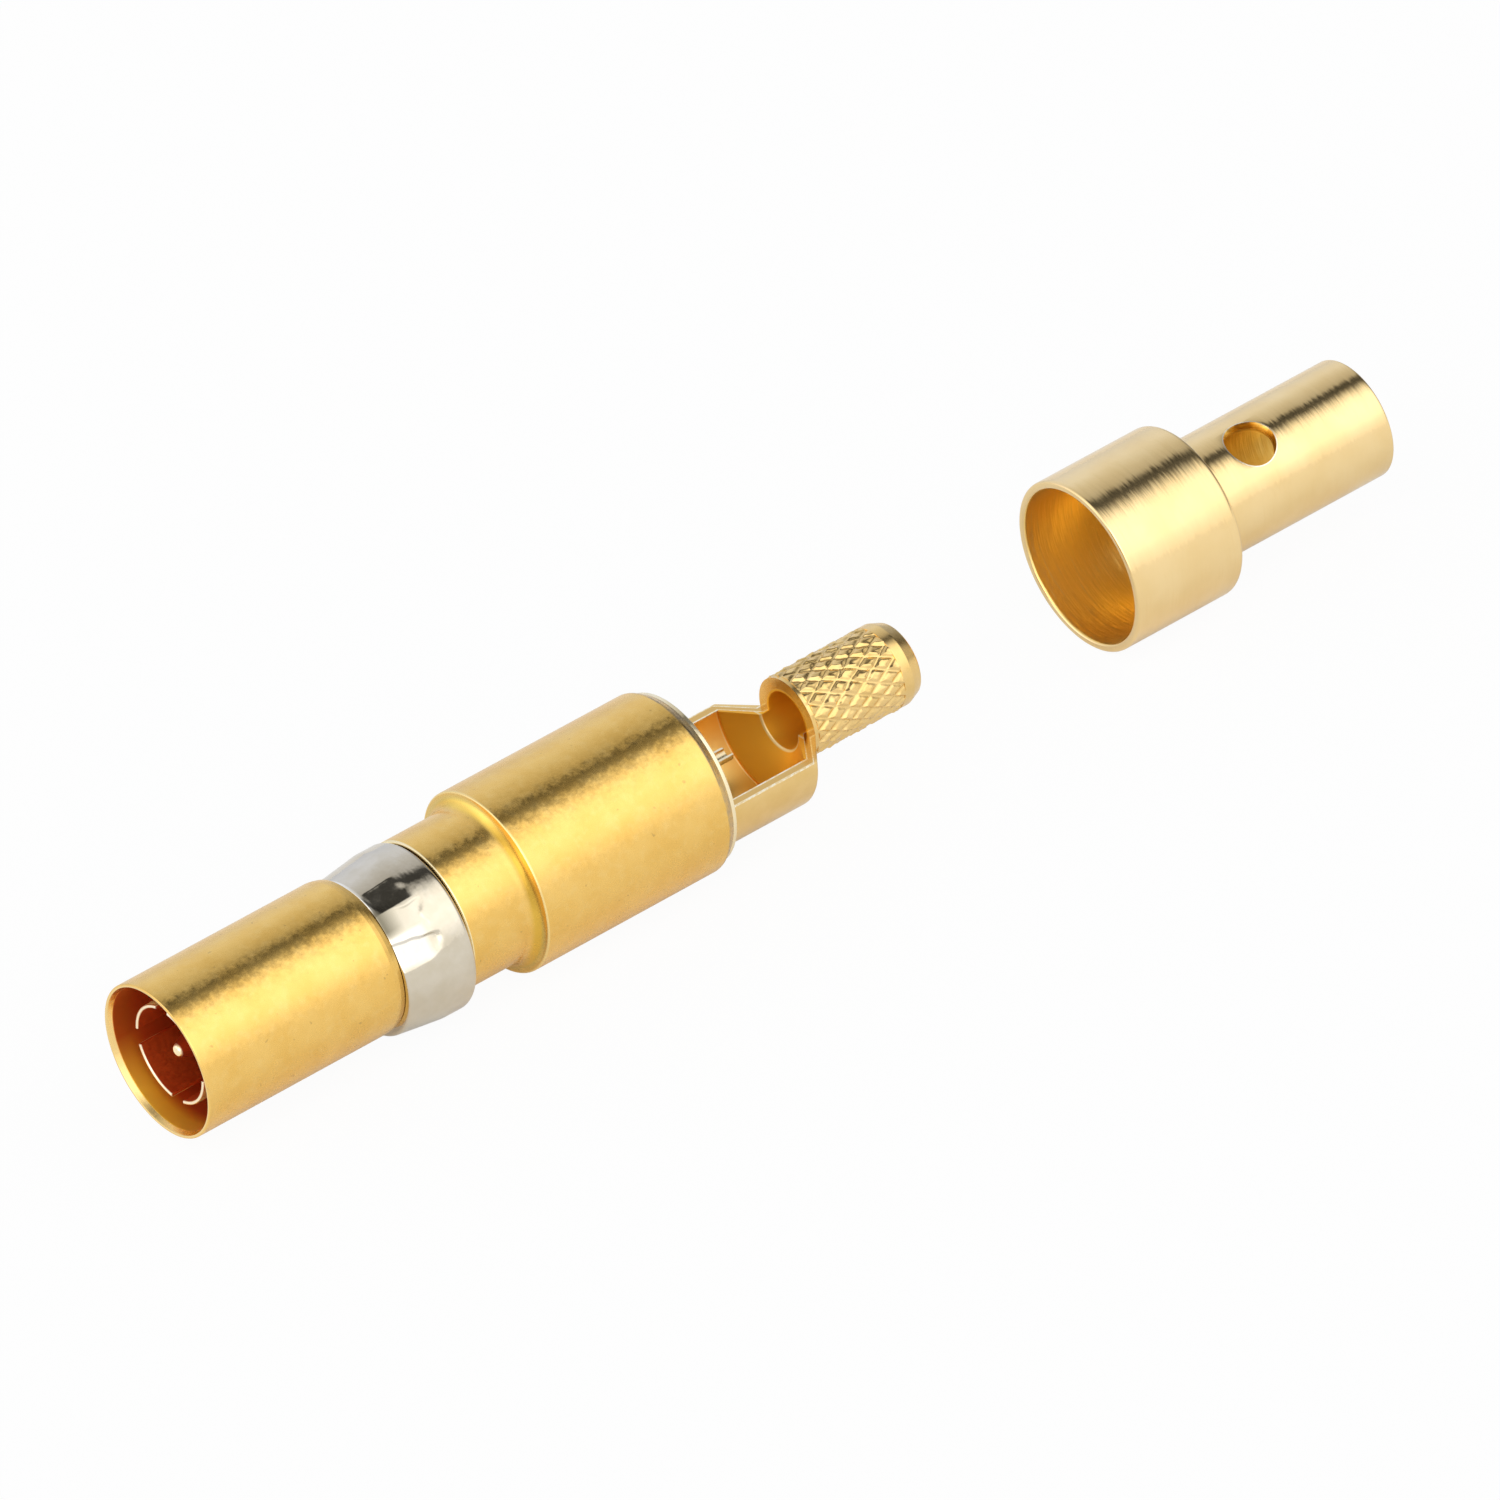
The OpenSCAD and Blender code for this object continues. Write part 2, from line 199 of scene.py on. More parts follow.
def rounded(corners, steps=5):
    """Closed outline of (x, r, fillet) corners, with each fillet drawn as an arc."""
    outline = []
    for i, (x, r, fillet) in enumerate(corners):
        here = Vector((x, r))
        back = Vector(corners[i - 1][:2]) - here
        ahead = Vector(corners[(i + 1) % len(corners)][:2]) - here
        if fillet <= 0:
            outline.append(here)
            continue
        back.normalize()
        ahead.normalize()
        half = back.angle(ahead) / 2
        reach = fillet / math.tan(half)
        centre = here + (back + ahead).normalized() * (fillet / math.sin(half))
        start = here + back * reach - centre
        turn = (here + ahead * reach - centre).angle_signed(start)
        for k in range(steps + 1):
            angle = turn * k / steps
            spoke = Vector((
                start.x * math.cos(angle) - start.y * math.sin(angle),
                start.x * math.sin(angle) + start.y * math.cos(angle),
            ))
            outline.append(centre + spoke)
    return outline


def with_rings(outline, near=0.05, pitch=0.6):
    """The outline with more points on its long stretches, so that smooth shading stays true."""
    fine = []
    for i, here in enumerate(outline):
        there = outline[(i + 1) % len(outline)]
        length = (there - here).length
        fine.append(here)
        if length < 3 * near or min(here.y, there.y) <= 0:
            continue
        inner = max(1, round((length - 2 * near) / pitch))
        marks = [near + (length - 2 * near) * k / inner for k in range(inner + 1)]
        fine += [here.lerp(there, mark / length) for mark in marks]
    return fine


def revolve(name, outline, columns=COLUMNS, start=0.0, sweep=360.0, relief=None):
    """Solid of the outline turned about X. relief(x, r, angle) may give another radius."""
    bm = bmesh.new()
    whole = sweep >= 360
    stations = columns if whole else columns + 1
    rings = []
    for k in range(stations):
        angle = math.radians(start + sweep * k / columns)
        ring = []
        for point in outline:
            r = relief(point.x, point.y, angle) if relief else point.y
            ring.append(bm.verts.new((point.x, r * math.cos(angle), r * math.sin(angle))))
        rings.append(ring)
    count = len(outline)
    for k in range(stations if whole else stations - 1):
        here, there = rings[k], rings[(k + 1) % stations]
        for i in range(count):
            j = (i + 1) % count
            if outline[i].y <= 0 and outline[j].y <= 0:
                continue
            bm.faces.new((here[i], here[j], there[j], there[i]))
    if not whole:
        bm.faces.new(rings[0])
        bm.faces.new(reversed(rings[-1]))
    bmesh.ops.remove_doubles(bm, verts=bm.verts, dist=1e-5)
    bmesh.ops.recalc_face_normals(bm, faces=bm.faces)
    return to_object(bm, name)


def to_object(bm, name):
    """Puts a finished bmesh into a new object of the scene."""
    mesh = bpy.data.meshes.new(name)
    bm.to_mesh(mesh)
    bm.free()
    obj = bpy.data.objects.new(name, mesh)
    bpy.context.scene.collection.objects.link(obj)
    return obj


def box_tool(low, high):
    """Box between two corners, used as a cutter."""
    bm = bmesh.new()
    bmesh.ops.create_cube(bm, size=1.0)
    for v in bm.verts:
        v.co = Vector(low[i] if v.co[i] < 0 else high[i] for i in range(3))
    return to_object(bm, "cutter")


def rod_tool(centre, turn, r, length):
    """Round cutter that starts at a point of the axis and leans from +Z towards -Y."""
    bm = bmesh.new()
    bmesh.ops.create_cone(bm, cap_ends=True, segments=96, radius1=r, radius2=r, depth=length)
    bm.transform(Matrix.Translation((0, 0, length / 2)))
    bm.transform(Matrix.Rotation(math.radians(turn), 4, "X"))
    bm.transform(Matrix.Translation(centre))
    return to_object(bm, "cutter")


def cut(obj, tools):
    """Takes the cutters away from a piece."""
    for tool in tools:
        step = obj.modifiers.new("cut", "BOOLEAN")
        step.operation = "DIFFERENCE"
        step.solver = "EXACT"
        step.object = tool
    graph = bpy.context.evaluated_depsgraph_get()
    made = bpy.data.meshes.new_from_object(obj.evaluated_get(graph))
    obj.modifiers.clear()
    old = obj.data
    obj.data = made
    bpy.data.meshes.remove(old)
    for tool in tools:
        bpy.data.objects.remove(tool)


def soften(obj, width, limit=40.0):
    """Breaks the sharp edges that cutting left."""
    bm = bmesh.new()
    bm.from_mesh(obj.data)
    bmesh.ops.remove_doubles(bm, verts=bm.verts, dist=1e-4)
    bmesh.ops.dissolve_degenerate(bm, edges=bm.edges, dist=1e-4)
    sharp = [e for e in bm.edges if len(e.link_faces) == 2 and e.calc_face_angle() > math.radians(limit)]
    bmesh.ops.bevel(
        bm, geom=sharp, offset=width, segments=2, profile=0.5, affect="EDGES", clamp_overlap=True
    )
    bm.to_mesh(obj.data)
    bm.free()


def finish_piece(obj, name, node, material):
    """Sets a piece made in millimetres into the frame in place of its CAD node."""
    obj.name = name
    obj.data.name = name
    obj.data.transform(Matrix.Scale(MM, 4))
    obj.data.polygons.foreach_set("use_smooth", [True] * len(obj.data.polygons))
    obj.data.set_sharp_from_angle(angle=math.radians(38))
    even = obj.modifiers.new("even_normals", "WEIGHTED_NORMAL")
    even.keep_sharp = True
    obj.data.materials.clear()
    obj.data.materials.append(material)
    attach(obj, "root")
    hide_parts(node)


# Materials
class Nodes:
    """Short helper to build the node tree of a material or of the world."""

    def __init__(self, owner):
        owner.use_nodes = True
        self.tree = owner.node_tree

    def node(self, kind, **values):
        made = self.tree.nodes.new(kind)
        for key, value in values.items():
            setattr(made, key, value)
        return made

    def put(self, socket, value):
        """Links a socket or sets a plain value."""
        if isinstance(value, bpy.types.NodeSocket):
            self.tree.links.new(value, socket)
        else:
            socket.default_value = value

    def vector(self, operation, a, b):
        made = self.node("ShaderNodeVectorMath", operation=operation)
        self.put(made.inputs[0], a)
        self.put(made.inputs["Scale"] if operation == "SCALE" else made.inputs[1], b)
        return made.outputs["Value" if operation in ("LENGTH", "DOT_PRODUCT") else "Vector"]

    def math(self, operation, a, b):
        made = self.node("ShaderNodeMath", operation=operation)
        self.put(made.inputs[0], a)
        self.put(made.inputs[1], b)
        return made.outputs["Value"]

    def ramp(self, fac, stops):
        made = self.node("ShaderNodeValToRGB")
        elements = made.color_ramp.elements
        while len(elements) < len(stops):
            elements.new(0.5)
        for element, (at, colour) in zip(elements, stops):
            element.position = at
            element.color = (*colour, 1.0)
        self.put(made.inputs["Fac"], fac)
        return made.outputs["Color"]

    def between(self, fac, low, high, start=0.3, end=0.7):
        """Maps start..end to low..high and holds it beyond."""
        made = self.node("ShaderNodeMapRange")
        for name, value in (("From Min", start), ("From Max", end), ("To Min", low), ("To Max", high)):
            self.put(made.inputs[name], value)
        self.put(made.inputs["Value"], fac)
        return made.outputs["Result"]

    def mix(self, fac, a, b, blend="MIX"):
        """Colour a where fac is 0 and b where it is 1."""
        made = self.node("ShaderNodeMix", data_type="RGBA", blend_type=blend)
        self.put(made.inputs[0], fac)
        for socket, value in ((made.inputs[6], a), (made.inputs[7], b)):
            self.put(socket, value if isinstance(value, bpy.types.NodeSocket) else (*value, 1.0))
        return made.outputs[2]

    def level(self, fac, a, b):
        """Number a where fac is 0 and b where it is 1."""
        made = self.node("ShaderNodeMix", data_type="FLOAT")
        for socket, value in zip(made.inputs[0:4], (fac, None, a, b)):
            if value is not None:
                self.put(socket, value)
        return made.outputs[0]

    def parts(self, value):
        """X, Y and Z of a vector."""
        split = self.node("ShaderNodeSeparateXYZ")
        self.put(split.inputs["Vector"], value)
        return split.outputs

    def light(self, kind, colour, strength=1.0):
        """Shader that gives off light."""
        made = self.node(kind)
        self.put(made.inputs["Color"], colour)
        self.put(made.inputs["Strength"], strength)
        return made.outputs[0]

    def end(self, kind, fac, a, b):
        """Ends the tree in shader a where fac is 0 and shader b where it is 1."""
        mix = self.node("ShaderNodeMixShader")
        for socket, value in zip(mix.inputs, (fac, a, b)):
            self.put(socket, value)
        self.put(self.node(kind).inputs["Surface"], mix.outputs["Shader"])


class Shader(Nodes):
    """Node tree of one piece's material, with lengths in millimetres."""

    def __init__(self, name):
        self.material = bpy.data.materials.new(name)
        super().__init__(self.material)
        self.bsdf = self.tree.nodes["Principled BSDF"]
        self.place = self.node("ShaderNodeTexCoord").outputs["Object"]

    def set(self, name, value):
        self.put(self.bsdf.inputs[name], value)

    def along(self):
        """Distance along X."""
        return self.parts(self.vector("SCALE", self.place, 1 / MM))["X"]

    def height(self):
        """Distance along Z."""
        return self.parts(self.vector("SCALE", self.place, 1 / MM))["Z"]

    def radius(self, y=0.0, z=0.0):
        """Distance from an axis along X."""
        flat = self.vector("MULTIPLY", self.place, (0, 1 / MM, 1 / MM))
        return self.vector("LENGTH", self.vector("SUBTRACT", flat, (0, y, z)), (0, 0, 0))

    def from_line(self, point, direction):
        """Distance from a line, and how far along it from its point."""
        arm = self.vector("SUBTRACT", self.vector("SCALE", self.place, 1 / MM), point)
        aside = self.vector("LENGTH", self.vector("CROSS_PRODUCT", arm, direction), (0, 0, 0))
        return aside, self.vector("DOT_PRODUCT", arm, direction)

    def facing(self, degrees):
        """1 on the side of the axis that lies at an angle from +Y towards +Z, -1 on the other side."""
        turn = math.radians(degrees)
        outward = self.vector("NORMALIZE", self.vector("MULTIPLY", self.place, (0, 1, 1)), (0, 0, 0))
        return self.vector("DOT_PRODUCT", outward, (0, math.cos(turn), math.sin(turn)))

    def band(self, value, start, end, soft):
        """1 between start and end, falling to 0 over a soft stretch outside."""
        return self.math("MULTIPLY", self.between(value, 0, 1, start - soft, start),
                         self.between(value, 1, 0, end, end + soft))

    def noise(self, scale, detail=3.0, roughness=0.55):
        """Noise whose scale is given per millimetre along X, Y and Z."""
        tex = self.node("ShaderNodeTexNoise")
        tex.inputs["Scale"].default_value = 1.0
        tex.inputs["Detail"].default_value = detail
        tex.inputs["Roughness"].default_value = roughness
        self.put(tex.inputs["Vector"], self.vector("MULTIPLY", self.place, [s / MM for s in scale]))
        return tex.outputs["Fac"]

    def bump(self, fac, height, strength):
        made = self.node("ShaderNodeBump")
        made.inputs["Strength"].default_value = strength
        made.inputs["Distance"].default_value = height * MM
        self.put(made.inputs["Height"], fac)
        return made.outputs["Normal"]

    def ripple(self, fac, slope, below=None, lengthwise=False):
        """Leans the normal to and fro by up to a slope, round the X axis or along it."""
        normal = below or self.node("ShaderNodeNewGeometry").outputs["Normal"]
        aside = self.vector("CROSS_PRODUCT", normal, (1, 0, 0))
        if lengthwise:
            aside = self.vector("CROSS_PRODUCT", normal, aside)
        amount = self.math("MULTIPLY", self.between(fac, -1, 1, 0.25, 0.75), slope)
        leaning = self.vector("ADD", normal, self.vector("SCALE", aside, amount))
        return self.vector("NORMALIZE", leaning, (0, 0, 0))


def shell_plate(s, blotch):
    """Deep yellow plating, mottled and pitted."""
    drift = s.noise((0.9, 0.9, 0.9), detail=2.0)
    plate = s.ramp(drift, [(0.35, (0.87, 0.54, 0.138)), (0.65, (0.91, 0.59, 0.170))])
    plate = s.mix(s.between(blotch, 0.0, 0.5, 0.5, 0.75), plate, (0.93, 0.64, 0.22))
    pits = s.between(s.noise((4.5, 4.5, 4.5), detail=1.0), 0.0, 0.6, 0.74, 0.79)
    return s.mix(pits, plate, (0.55, 0.36, 0.12))


def shell_wear_and_highlights(s, x, r, plate, blotch, speckle):
    """The plating with a worn bevel and rim, painted highlights on the lip and the groove edge, and a
    paler mouth face.
    """
    bevel = s.band(x, BEVEL_X - 0.02, LIP_X - 0.03, 0.04)
    rim = s.math("MULTIPLY", s.between(x, 1, 0, MOUTH_X + 0.01, MOUTH_X + 0.07),
                 s.between(r, 0, 1, NOSE_R - 0.06, NOSE_R))
    worn = s.math("MAXIMUM", s.math("MULTIPLY", bevel, s.between(blotch, 0.35, 0.9, 0.35, 0.6)),
                  s.math("MULTIPLY", rim, s.between(speckle, 0.05, 0.75, 0.58, 0.70)))
    plate = s.mix(worn, plate, (0.50, 0.38, 0.22))
    # Painted highlight: the lip at the rear of the barrel is painted pale cream.
    plate = s.mix(s.between(x, 0, 1, LIP_X - 0.02, LIP_X + 0.01), plate, (0.98, 0.84, 0.55))
    face = s.math("MULTIPLY", s.between(x, 1, 0, MOUTH_X + 0.16, MOUTH_X + 0.2),
                  s.between(r, 1, 0, NOSE_R - 0.07, NOSE_R - 0.03))
    plate = s.mix(face, plate, (0.92, 0.66, 0.27))
    # Painted highlight: the rounded edge at the front of the neck is painted pale.
    edge_highlight = s.math("MULTIPLY", s.band(x, -NECK_LEN - 0.02, -NECK_LEN + 0.06, 0.02),
                  s.between(r, 0, 1, NOSE_R - 0.12, NOSE_R - 0.1))
    return s.mix(edge_highlight, plate, (0.99, 0.84, 0.50))


def shell_shoulder_painted_light(s, x, r, plate):
    """The plating with painted light and reflection on the shoulder's fillet, set by the side of the
    axis, and a painted highlight on the barrel's front corner.
    """
    fillet = s.math("MULTIPLY", s.between(r, 0, 1, NOSE_R + 0.01, NOSE_R + 0.08),
                    s.between(x, 1, 0, -0.03, 0.0))
    # Painted light and shade: the fillet is lighter on the side at 95 degrees and darker on the side at
    # 142 degrees, standing for what it reflects.
    painted_fillet_light = s.mix(s.between(s.facing(95.0), 0, 1, 0.80, 0.95), (0.80, 0.50, 0.08), (1.0, 0.68, 0.14))
    painted_fillet_light = s.mix(s.between(s.facing(142.0), 0, 1, 0.80, 0.95), painted_fillet_light, (0.54, 0.32, 0.046))
    painted_fillet_light = s.mix(s.between(r, 0, 1, NOSE_R + 0.2, NOSE_R + 0.36), painted_fillet_light, (0.66, 0.55, 0.19))
    plate = s.mix(fillet, plate, painted_fillet_light)
    # Painted highlight on the barrel's front corner.
    corner = s.math("MULTIPLY", s.between(r, 0, 1, BARREL_R - 0.08, BARREL_R - 0.04),
                    s.band(x, -0.02, 0.05, 0.02))
    return s.mix(corner, plate, (0.94, 0.70, 0.29))


def shell_bore_painted_light(s, x):
    """Wall of the mouth painted red for the shade and the reflections deep in the bore, with painted
    orange light on the side that catches the light, and darker still deeper in.
    """
    painted_lit_side = s.between(s.facing(BORE_GLOW), 0, 1, 0.45, 0.95)
    painted_glow = s.mix(s.between(x, 0, 1, MOUTH_X + 0.3, MOUTH_X + 1.2), (1.0, 0.64, 0.075), (1.0, 0.50, 0.035))
    wall = s.mix(painted_lit_side, (0.66, 0.16, 0.024), painted_glow)
    # Painted shade: the wall darkens further in from the finger ends.
    depth = s.between(x, 0, 1, SOCKET_LOW.x + 0.2, SOCKET_LOW.x + 0.7)
    return s.mix(depth, wall, (0.74, 0.14, 0.03))


def shell_gold():
    """Deep yellow plating: mottled and speckled, worn at the bevel and rim, with painted light, shade and
    highlights at the shoulder, lip and edges, and painted red shade with a lit side inside the mouth.
    """
    s = Shader("shell_gold")
    x, r = s.along(), s.radius()
    blotch = s.noise((3.2, 3.2, 3.2), detail=3.0)
    speckle = s.noise((4.8, 4.8, 4.8), detail=4.0, roughness=0.7)
    plate = shell_wear_and_highlights(s, x, r, shell_plate(s, blotch), blotch, speckle)
    plate = shell_shoulder_painted_light(s, x, r, plate)
    # Inside the mouth the wall takes the painted red shade and light of the bore.
    inside = s.math("MULTIPLY", s.between(r, 1, 0, MOUTH_R + 0.002, MOUTH_R + 0.012),
                    s.between(x, 1, 0, MOUTH_END + 0.02, MOUTH_END + 0.05))
    s.set("Base Color", s.mix(inside, plate, shell_bore_painted_light(s, x)))
    s.set("Metallic", 1.0)
    s.set("Roughness", s.level(inside, s.between(speckle, 0.2, 0.3), 0.6))
    s.set("Normal", s.ripple(speckle, 0.06))
    return s.material


def tube_gold():
    """Plating of the contact tube, brightened on the outer fingers for the light they catch, with a
    painted highlight at the finger ends and painted deep red shade inside and further in.
    """
    s = Shader("tube_gold")
    x, r = s.along(), s.radius()
    grain = s.noise((9.0, 9.0, 9.0), detail=2.0)
    # The bright plate stands partly for painted light on the outer fingers.
    plate = s.ramp(grain, [(0.35, (0.98, 0.78, 0.28)), (0.65, (1.0, 0.84, 0.34))])
    inner = s.ramp(grain, [(0.35, (0.62, 0.094, 0.018)), (0.65, (0.68, 0.115, 0.022))])
    # Painted highlight: the ends of the fingers are painted pale.
    tip_highlight = s.between(x, 1, 0, SOCKET_LOW.x + 0.03, SOCKET_LOW.x + 0.06)
    # Painted shade: the inside and the deeper part of the tube are painted deep red.
    painted_shade = s.math("MAXIMUM", s.between(r, 1, 0, FINGER_R - 0.03, FINGER_R - 0.01),
                    s.between(x, 0, 1, SOCKET_LOW.x + 0.5, SOCKET_LOW.x + 0.9))
    plate = s.mix(painted_shade, plate, inner)
    s.set("Base Color", s.mix(tip_highlight, plate, (0.98, 0.84, 0.60)))
    s.set("Metallic", 1.0)
    s.set("Roughness", s.level(tip_highlight, s.between(grain, 0.55, 0.7), 0.3))
    s.set("Normal", s.ripple(grain, 0.05))
    return s.material


def pin_gold():
    """Plating of the centre pin: pale at the blunt end and at the solder cup, painted dark red along the
    shank for the shade deep in the mouth.
    """
    s = Shader("pin_gold")
    x = s.along()
    grain = s.noise((9.0, 9.0, 9.0), detail=2.0)
    plate = s.ramp(grain, [(0.35, (0.98, 0.82, 0.50)), (0.65, (1.0, 0.88, 0.60))])
    # Painted shade: the shank inside the mouth is painted dark red.
    painted_shank_shade = s.band(x, PIN_LOW.x + 0.12, 1.0, 0.06)
    s.set("Base Color", s.mix(painted_shank_shade, plate, (0.30, 0.030, 0.006)))
    s.set("Metallic", 1.0)
    s.set("Roughness", s.level(painted_shank_shade, s.between(grain, 0.2, 0.3), 0.7))
    s.set("Normal", s.ripple(grain, 0.05))
    return s.material


def crimp_hollow_painted_light(s, x, cone_x):
    """Trough of the solder window painted darker towards the bottom for shade, then its cone and bore
    painted orange for the light reflected inside, with painted highlights on the crests.
    """
    cone_end = cone_x + INNER_CONE
    # Painted shade: the trough is darker towards the bottom.
    trough = s.mix(s.between(s.height(), 0, 1, -CRIMP_BORE_R, -0.35 * CRIMP_BORE_R),
                   (0.72, 0.50, 0.16), (0.97, 0.69, 0.24))
    # Painted reflection: the cone and the bore are painted orange for light bounced inside.
    hollow = s.mix(s.between(x, 0, 1, cone_x - 0.01, cone_x + 0.02), trough, (1.0, 0.53, 0.06))
    hollow = s.mix(s.between(x, 0, 1, cone_end - 0.02, cone_end + 0.02), hollow, (1.0, 0.60, 0.06))
    # Painted highlights along the crests at both ends of the cone.
    crest_highlight = s.math("MAXIMUM", s.band(x, cone_x - 0.02, cone_x + 0.01, 0.015),
                   s.band(x, cone_end - 0.03, cone_end + 0.02, 0.02))
    return s.mix(crest_highlight, hollow, (0.99, 0.80, 0.42))


def crimp_gold():
    """Pale plating of the crimp body, painted orange where it is hollow, with a painted darker strip and
    painted highlight lines along the cut edges.
    """
    s = Shader("crimp_gold")
    x, r = s.along(), s.radius()
    drift = s.noise((1.3, 1.3, 1.3), detail=2.0)
    grain = s.noise((7.0, 7.0, 7.0), detail=2.0)
    plate = s.ramp(drift, [(0.35, (0.86, 0.59, 0.22)), (0.65, (0.90, 0.64, 0.27))])
    cone_x = STEM_X - BORE_LIP - INNER_CONE
    wall = s.between(x, (CRIMP_R + CRIMP_BORE_R) / 2, (STEM_R + STEM_BORE_R) / 2,
                     cone_x + 0.1, cone_x + INNER_CONE + 0.15)
    offset = s.math("SUBTRACT", r, wall)
    inside = s.between(offset, 1, 0, -0.2, -0.15)
    # Painted shade in the middle of the window's cut face.
    rim = s.math("MULTIPLY", s.band(x, BARREL_END, STEM_X - 0.02, 0.02),
                 s.band(s.height(), -WINDOW_DROP - 0.05, -WINDOW_DROP + 0.03, 0.01))
    painted_shade_strip = s.band(offset, -0.1, 0.1, 0.03)
    # Painted highlight lines along both edges of the cut face.
    lines = s.math("MAXIMUM", s.band(offset, -0.19, -0.145, 0.015), s.band(offset, 0.145, 0.19, 0.015))
    lines = s.math("MULTIPLY", lines, s.between(grain, 0.35, 1.0, 0.42, 0.58))
    plate = s.mix(s.math("MULTIPLY", rim, painted_shade_strip), plate, (0.74, 0.46, 0.14))
    skin = s.mix(inside, plate, crimp_hollow_painted_light(s, x, cone_x))
    s.set("Base Color", s.mix(s.math("MULTIPLY", rim, lines), skin, (1.0, 0.92, 0.70)))
    s.set("Metallic", 1.0)
    stem = s.between(x, 0.0, 0.05, WINDOW_END, STEM_X + 0.1)
    dulled = s.between(x, 0.34, 0.5, cone_x - 0.02, cone_x + 0.1)
    s.set("Roughness", s.level(inside, s.math("ADD", stem, s.between(grain, 0.14, 0.22)), dulled))
    s.set("Normal", s.ripple(grain, 0.015))
    return s.material


def ferrule_gold():
    """Pale bright plating with fine turning lines, painted a deeper gold inside for the light bounced
    there, and a painted highlight round the cross hole.
    """
    s = Shader("ferrule_gold")
    x, r = s.along(), s.radius(FERRULE_Y, FERRULE_Z)
    drift = s.noise((0.8, 0.8, 0.8), detail=2.0)
    lines = s.noise((16.0, 0.9, 0.9), detail=3.0, roughness=0.65)
    plate = s.ramp(drift, [(0.35, (0.90, 0.66, 0.315)), (0.65, (0.93, 0.70, 0.355))])
    plate = s.mix(s.between(lines, 0.0, 0.25, 0.55, 0.75), plate, (0.85, 0.60, 0.27))
    inner_x = FERRULE_STEP - TUBE_WALL - FERRULE_CONE
    wall = s.between(x, (FERRULE_R + FERRULE_BORE_R) / 2, TUBE_R - TUBE_WALL / 2,
                     inner_x + 0.02, inner_x + FERRULE_CONE)
    inside = s.between(s.math("SUBTRACT", r, wall), 1, 0, -0.13, -0.1)
    # Painted reflection: the inside is painted a deeper gold for the light bounced in the cup.
    hollow = s.ramp(lines, [
        (0.35, (0.96, 0.67, 0.20)), (0.6, (0.98, 0.71, 0.23)), (0.7, (0.99, 0.78, 0.31)),
    ])
    # Painted highlight round the edge of the cross hole.
    turn = math.radians(HOLE_TURN)
    aside, ahead = s.from_line((HOLE_X, FERRULE_Y, FERRULE_Z), (0, -math.sin(turn), math.cos(turn)))
    edge_highlight = s.math("MULTIPLY", s.band(aside, HOLE_R, HOLE_R + 0.03, 0.015),
                  s.math("MULTIPLY", s.between(r, 0, 1, TUBE_R - 0.09, TUBE_R - 0.06),
                         s.between(ahead, 0, 1, 0.4, 0.6)))
    s.set("Base Color", s.mix(edge_highlight, s.mix(inside, plate, hollow), (0.99, 0.89, 0.68)))
    s.set("Metallic", 1.0)
    s.set("Roughness", s.level(edge_highlight, s.level(inside, s.between(lines, 0.13, 0.2), 0.36), 0.25))
    tooled = s.ripple(lines, s.level(inside, 0.0, 0.12), lengthwise=True)
    s.set("Normal", s.ripple(lines, 0.045, below=tooled))
    return s.material


def clip_nickel():
    """Bright nickel, almost a mirror: smeared, with a painted dark reflection on one side, a painted
    bright reflection patch and a painted highlight on the lip.
    """
    s = Shader("clip_nickel")
    x = s.along()
    smear = s.noise((1.6, 1.6, 1.6), detail=3.0)
    fine = s.noise((12.0, 3.0, 3.0), detail=2.0)
    plate = s.ramp(smear, [(0.35, (0.66, 0.59, 0.46)), (0.65, (0.71, 0.645, 0.525))])

    def patch(around, share, start, end):
        """Mask on one side of the clip that fades out over a stretch behind its front edge."""
        return s.math("MULTIPLY", around, s.between(x, share, 0, CLIP_LOW.x + start, CLIP_LOW.x + end))

    # Painted reflection: a dark patch on the side at 134 degrees, darkest near the front edge.
    side = s.between(s.facing(134.0), 0, 1, 0.972, 0.992)
    # Painted highlight: the lip on the side at 103 degrees is painted white.
    lip_highlight = patch(s.between(s.facing(103.0), 0, 1, 0.82, 0.93), 1, 0.08, 0.13)
    plate = s.mix(lip_highlight, plate, (0.93, 0.89, 0.80))
    # Painted reflection: a brighter patch on the side at 158 degrees.
    bright_reflection_patch = patch(s.between(s.facing(158.0), 0, 1, 0.976, 0.985), 1, 1.05, 1.25)
    plate = s.mix(bright_reflection_patch, plate, (0.80, 0.75, 0.66))
    plate = s.mix(patch(side, 0.8, 0.3, 1.4), plate, (0.50, 0.455, 0.36))
    s.set("Base Color", s.mix(patch(side, 1, 0.12, 0.7), plate, (0.20, 0.18, 0.13)))
    s.set("Metallic", 1.0)
    s.set("Roughness", s.between(smear, 0.06, 0.16))
    s.set("Normal", s.ripple(fine, 0.02, below=s.bump(smear, 0.03, 0.3)))
    return s.material


def white_plastic():
    """White fluoroplastic with a faint turned grain."""
    s = Shader("insulator")
    grain = s.noise((14.0, 14.0, 14.0))
    s.set("Base Color", s.ramp(grain, [(0.3, (0.80, 0.79, 0.76)), (0.7, (0.86, 0.85, 0.82))]))
    s.set("Roughness", s.between(grain, 0.38, 0.5))
    s.set("Normal", s.bump(grain, 0.01, 0.1))
    return s.material


SHELL_GOLD = shell_gold()
TUBE_GOLD = tube_gold()
PIN_GOLD = pin_gold()
CRIMP_GOLD = crimp_gold()
FERRULE_GOLD = ferrule_gold()
CLIP_NICKEL = clip_nickel()
INSULATOR = white_plastic()


